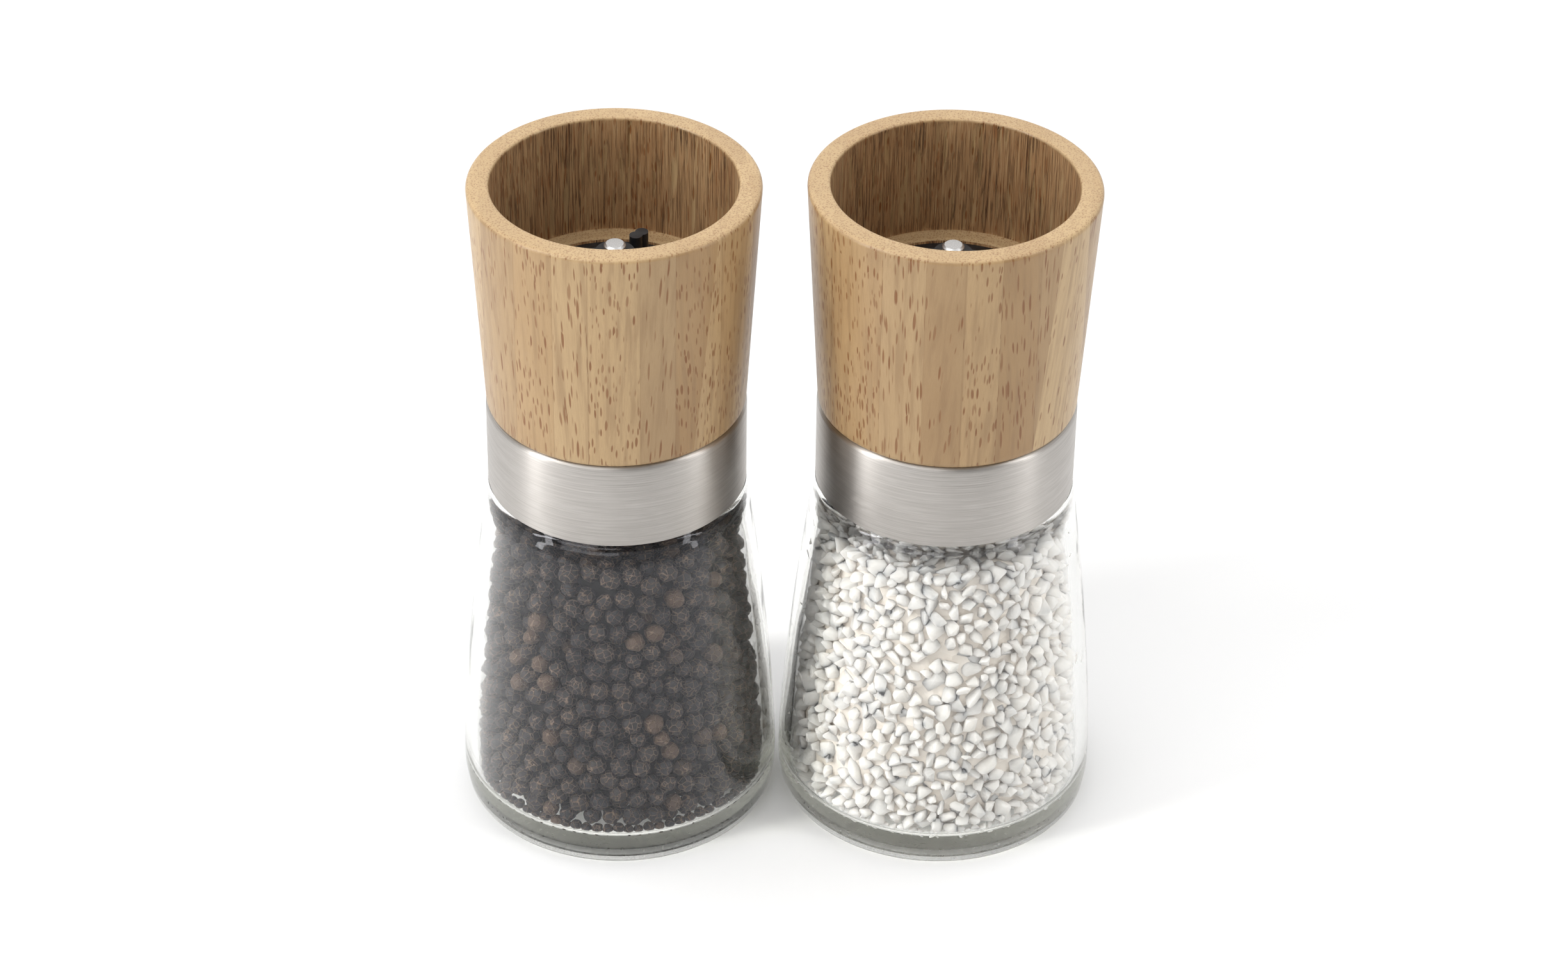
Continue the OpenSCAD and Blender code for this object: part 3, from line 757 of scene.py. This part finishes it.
def pepper_heap():
    """Whole peppercorns of 3.5 to 5.1 mm, with small ones along the floor's edge."""
    rng = np.random.default_rng(11)
    count, edge, shell, core_depth = 1250, 84, 7.4, 4.6
    radii = np.clip(rng.normal(2.12, 0.17, count), 1.75, 2.55)
    radii[:edge] = rng.uniform(1.05, 1.35, edge)
    at = packed_grains(rng, count, radii, shell, 110, edge)
    shapes = peppercorn_shapes(rng, 12)
    corns = heap("pepper_corns", "pepper", rng, at, radii, shapes, peppercorn_skin())
    core = lathe("pepper_heap_core", core_outline(core_depth), "pepper", 96)
    # Painted shade: a core darker than the corns, for the gaps between them
    shade = heap_core("pepper_core_painted_shade", rgb(0.014, 0.011, 0.010), rgb(0.006, 0.005, 0.005))
    core.data.materials.append(shade)
    return corns, core


def salt_heap():
    """Coarse salt. A chipped block fills less than the ball that it is packed as, so the grains are
    drawn larger than those balls."""
    rng = np.random.default_rng(23)
    count, edge, shell, core_depth = 2900, 90, 5.8, 2.1
    radii = np.clip(rng.lognormal(0.46, 0.22, count), 0.90, 2.45)
    radii[:edge] = rng.uniform(0.8, 1.2, edge)
    at = packed_grains(rng, count, radii, shell, 90, edge)
    shapes = salt_shapes(rng, 20)
    grains = heap("salt_grains", "salt", rng, at, radii * SALT_SWELL, shapes, salt_grain())
    core = lathe("salt_heap_core", core_outline(core_depth), "salt", 96)
    # Painted shade: a core a little darker than the grains, for the gaps between them
    shade = heap_core("salt_core_painted_shade", rgb(0.80, 0.755, 0.70), rgb(0.74, 0.69, 0.63))
    core.data.materials.append(shade)
    return grains, core


# ---- jars, rings, sleeves ----

def jar_outline():
    """From the middle of the underside, up the outside, over the lip and down the inside."""
    recess, foot_r, heel_r, lip_r = 1.2, JAR_R - 2.7, 2.2, 1.0
    neck_top = JAR_HIGH.z
    points = [(0, recess), (foot_r - 6.0, recess)]
    points += [(foot_r - 5.2, 1.0), (foot_r - 4.4, 0.35), (foot_r - 3.6, 0.0)]
    points += arc((foot_r, heel_r), heel_r, -90, -4, 10)
    points += wall(BELLY_Z - 2.5, SHOULDER_Z - SHOULDER_EDGE, 40)
    points += arc((SHOULDER_R - SHOULDER_EDGE, SHOULDER_Z - SHOULDER_EDGE), SHOULDER_EDGE, 15, 90, 7)
    points += arc((NECK_R + 0.7, SHOULDER_Z + 0.7), 0.7, 270, 180, 4)
    points += [(NECK_R, float(z))
               for z in np.linspace(SHOULDER_Z + 0.9, neck_top - lip_r - 0.1, 40)]
    points += arc((NECK_R - lip_r, neck_top - lip_r), lip_r, 0, 90, 6)
    points += arc((NECK_BORE_R + lip_r, neck_top - lip_r), lip_r, 90, 180, 6)
    points += [(NECK_BORE_R, SHOULDER_Z + 0.5)]
    points += arc((SHOULDER_R - WALL - 2.5, SHOULDER_Z - 4.5), 2.5, 75, 15, 7)
    wall_low = FLOOR_Z + CORNER_R + 1.0
    points += [(float(inside_r(z)[0]), float(z)) for z in np.linspace(SHOULDER_Z - 5.5, wall_low, 32)]
    corner = (float(inside_r(wall_low)[0]) - CORNER_R, FLOOR_Z + CORNER_R)
    points += arc(corner, CORNER_R, 0, -90, 10)
    return points + [(corner[0] / 2, FLOOR_Z - 0.05), (0, FLOOR_Z)]


def ridge_height(z, turn):
    """How far the neck's thread stands out at a height and an angle round the neck, in mm."""
    pitch, turns, start_z = 4.2, 1.25, SHOULDER_Z + 4.0
    depth, half_width, flank, run_out = 1.3, 1.1, 0.45, 0.11
    height = 0.0
    for wind in range(2):
        along = turn / (2 * math.pi) + wind
        if along > turns:
            continue
        off = abs(z - (start_z + pitch * along))
        fade = min(1.0, along / run_out, (turns - along) / run_out)
        profile = min(1.0, max(0.0, (half_width - off) / flank))
        height = max(height, depth * fade * profile * profile * (3 - 2 * profile))
    return height


def jar(mill):
    """The turned jar, with the thread's ridge pushed out of its neck."""
    made = lathe(f"{mill}_jar_glass", jar_outline(), mill, 256)
    axis = axis_of(mill)
    for v in made.data.vertices:
        x, y, z = (v.co.x - axis) / MM, v.co.y / MM, v.co.z / MM
        r = math.hypot(x, y)
        if NECK_R - 0.01 < r < NECK_R + 0.01 and SHOULDER_Z + 0.8 < z < JAR_HIGH.z - 1.1:
            out = 1 + ridge_height(z, math.atan2(y, x) % (2 * math.pi)) / r
            v.co.x = axis + x * out * MM
            v.co.y = y * out * MM
    made.data.materials.append(jar_glass(mill))
    return made


def steel_ring(mill):
    """Sheet with a rolled top edge and a slightly broken lower one."""
    edge, flange, broken = 1.0, 2.2, 0.12
    top, low = RING_HIGH.z, RING_LOW.z
    outline = [(RING_R - SHEET, low + 0.05), (RING_R - SHEET + broken, low)]
    outline += [(RING_R - broken, low), (RING_R, low + broken)]
    outline += arc((RING_R - edge, top - edge), edge, 0, 90, 12)
    outline += [(RING_R - flange, top), (RING_R - flange, top - SHEET)]
    outline += arc((RING_R - edge, top - edge), edge - SHEET, 90, 0, 8)
    made = sharpen(lathe(f"{mill}_ring_sheet", outline, mill, 256), 50)
    made.data.materials.append(brushed_steel(mill))
    return made


def sleeve(mill, seed):
    """The turned bamboo, with its cup wall roughened by the cutter."""
    foot_z, top, edge = SLEEVE_LOW.z, SLEEVE_HIGH.z, 1.0
    lean = (RIM_R - FOOT_R) / (top - edge - foot_z)
    heights = np.linspace(foot_z + 0.6, top - edge, 60)
    outline = [(SLEEVE_BORE_R, foot_z), (FOOT_R - 0.5, foot_z), (FOOT_R - 0.15, foot_z + 0.15)]
    outline += [(FOOT_R + lean * (z - foot_z), float(z)) for z in heights]
    outline += arc((RIM_R - edge, top - edge), edge, 10, 90, 8)
    outline += [(RIM_R - 2.2, top), (CUP_R + 1.4, top)]
    outline += arc((CUP_R + 0.6, top - 0.6), 0.6, 90, 180, 6)
    outline += [(CUP_R, float(z)) for z in np.linspace(top - 1.2, LEDGE_Z + 0.3, 60)]
    outline += [(CUP_R - 0.3, LEDGE_Z)]
    outline += [(float(r), LEDGE_Z) for r in np.linspace(CUP_R - 0.8, LEDGE_HOLE_R + 0.3, 6)]
    outline += [(LEDGE_HOLE_R, LEDGE_Z - 0.25), (LEDGE_HOLE_R, LEDGE_UNDER_Z),
                (SLEEVE_BORE_R, LEDGE_UNDER_Z)]
    made = lathe(f"{mill}_bamboo", outline, mill, 384)
    axis = axis_of(mill)
    least_tear, tear_depth, ripple = 0.22, 0.9, 0.05
    for v in made.data.vertices:
        x, y, z = (v.co.x - axis) / MM, v.co.y / MM, v.co.z / MM
        r = math.hypot(x, y)
        if CUP_R - 0.01 < r < CUP_R + 0.01 and LEDGE_Z + 0.4 < z < top - 1.0:
            tear = noise.noise(Vector((x * 1.3, y * 1.3, z * 0.09 + seed)))
            fine = noise.noise(Vector((x * 3.1, y * 3.1, z * 0.2 - seed)))
            out = max(0.0, tear - least_tear) * tear_depth + fine * ripple
            v.co.x = axis + x * (1 + out / r) * MM
            v.co.y = y * (1 + out / r) * MM
    return sharpen(made, 60)


# ---- build ----

steel, plastic, white_ceramic, gasket = machined_steel(), black_plastic(), ceramic(), silicone()
# Nodes that keep their CAD shape, with the material of each
CARRIED = {
    "seal": gasket, "thread_collar": plastic, "drive_shaft": steel, "shaft_clip": steel,
    "spring_washer": steel, "spring": steel, "grinding_cone": white_ceramic, "ring_burr": white_ceramic,
    "burr_housing": plastic, "retaining_ring": plastic, "housing_screws": steel, "adjusting_knob": plastic,
}


def finish_cad_node(name, material):
    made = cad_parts[name]
    made.data.materials.clear()
    made.data.materials.append(material)


def build_mill(mill, contents, grain_turn, seed):
    glass = jar(mill)
    ring = steel_ring(mill)
    wood = sleeve(mill, seed)
    wood.data.materials.append(bamboo(mill, grain_turn, seed))
    grains, core = contents()
    for made in [glass, core] + grains:
        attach(made, f"{mill}_jar")
    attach(ring, f"{mill}_collar")
    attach(wood, f"{mill}_head")
    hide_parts(f"{mill}_glass_jar")
    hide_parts(f"{mill}_steel_ring")
    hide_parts(f"{mill}_bamboo_sleeve")
    fill = "peppercorns" if mill == "pepper" else "salt_crystals"
    for made in [core] + grains:
        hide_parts(fill)
    for part, material in CARRIED.items():
        finish_cad_node(f"{mill}_{part}", material)


build_mill("pepper", pepper_heap, 4.0, 5.0)
build_mill("salt", salt_heap, -6.0, 17.0)


# ---- stage: floor, light and camera ----

def floor():
    reach = 4.0
    corners = [(-reach, -reach, 0), (reach, -reach, 0), (reach, reach, 0), (-reach, reach, 0)]
    made = piece("floor", corners, [(0, 1, 2, 3)])
    n = Nodes("pale_floor")
    cloud = n.noise(n.millimetres(), 0.004)
    colour = n.blend(cloud, rgb(0.86, 0.86, 0.86), rgb(0.88, 0.88, 0.88))
    n.surface(base_color=colour, roughness=0.6, specular_ior_level=0.15)
    made.data.materials.append(n.material)


def softbox(name, place, aim, width, height, watts):
    """A rectangular lamp at a place, turned to face a point."""
    data = bpy.data.lights.new(name, "AREA")
    data.shape = "RECTANGLE"
    data.size, data.size_y, data.energy = width, height, watts
    lamp = bpy.data.objects.new(name, data)
    lamp.location = place
    lamp.rotation_euler = (Vector(aim) - Vector(place)).to_track_quat("-Z", "Y").to_euler()
    bpy.context.scene.collection.objects.link(lamp)


def camera():
    """The photograph's view, from a fit to the rims, rings and bases seen in it."""
    azimuth, elevation, roll = math.radians(-1.2848), math.radians(35.278), math.radians(0.9145)
    distance = 0.87524
    target = Vector((0.0007, 0, 0.07364))
    back = Vector((math.sin(azimuth) * math.cos(elevation), -math.cos(azimuth) * math.cos(elevation),
                   math.sin(elevation)))
    data = bpy.data.cameras.new("camera")
    data.sensor_width = 36.0
    data.lens = 99.22
    data.clip_start, data.clip_end = 0.05, 20.0
    made = bpy.data.objects.new("camera", data)
    bpy.context.scene.collection.objects.link(made)
    made.location = target + back * distance
    level = (-back).to_track_quat("-Z", "Y").to_matrix().to_4x4()
    made.matrix_world = Matrix.Translation(made.location) @ level @ Matrix.Rotation(roll, 4, "Z")
    bpy.context.scene.camera = made


def room():
    """A white room that is dimmer behind the camera, towards -Y."""
    world = bpy.data.worlds.new("studio")
    bpy.context.scene.world = world
    world.use_nodes = True
    tree = world.node_tree
    direction = tree.nodes.new("ShaderNodeTexCoord")
    parts = tree.nodes.new("ShaderNodeSeparateXYZ")
    tree.links.new(direction.outputs["Generated"], parts.inputs[0])
    front = tree.nodes.new("ShaderNodeMapRange")
    front.interpolation_type = "SMOOTHSTEP"
    dimmest_y, brightest_y, dimmest, brightest = -0.85, 0.9, 0.25, 1.05
    for socket, number in zip(front.inputs[1:], (dimmest_y, brightest_y, dimmest, brightest)):
        socket.default_value = number
    tree.links.new(parts.outputs[1], front.inputs[0])
    background = tree.nodes["Background"]
    background.inputs["Color"].default_value = rgb(1.0, 1.0, 1.0)
    tree.links.new(front.outputs[0], background.inputs["Strength"])


floor()
room()
camera()
waist = (0, 0, 0.08)
softbox("left_softbox", (-0.80, -0.30, 0.55), waist, 0.12, 1.0, 5.6)
softbox("right_softbox", (0.80, -0.30, 0.55), waist, 0.12, 1.0, 2.6)
softbox("top_softbox", (0.0, 0.15, 1.3), (0, 0, 0.05), 1.2, 0.9, 5.6)
softbox("front_softbox", (-0.45, -0.80, 1.0), waist, 1.0, 0.5, 4.6)
# Thick glass passes light along by many inner reflections
bpy.context.scene.cycles.max_bounces = 24
bpy.context.scene.cycles.glossy_bounces = 16
bpy.context.scene.cycles.transmission_bounces = 20
bpy.context.scene.view_settings.view_transform = "Standard"
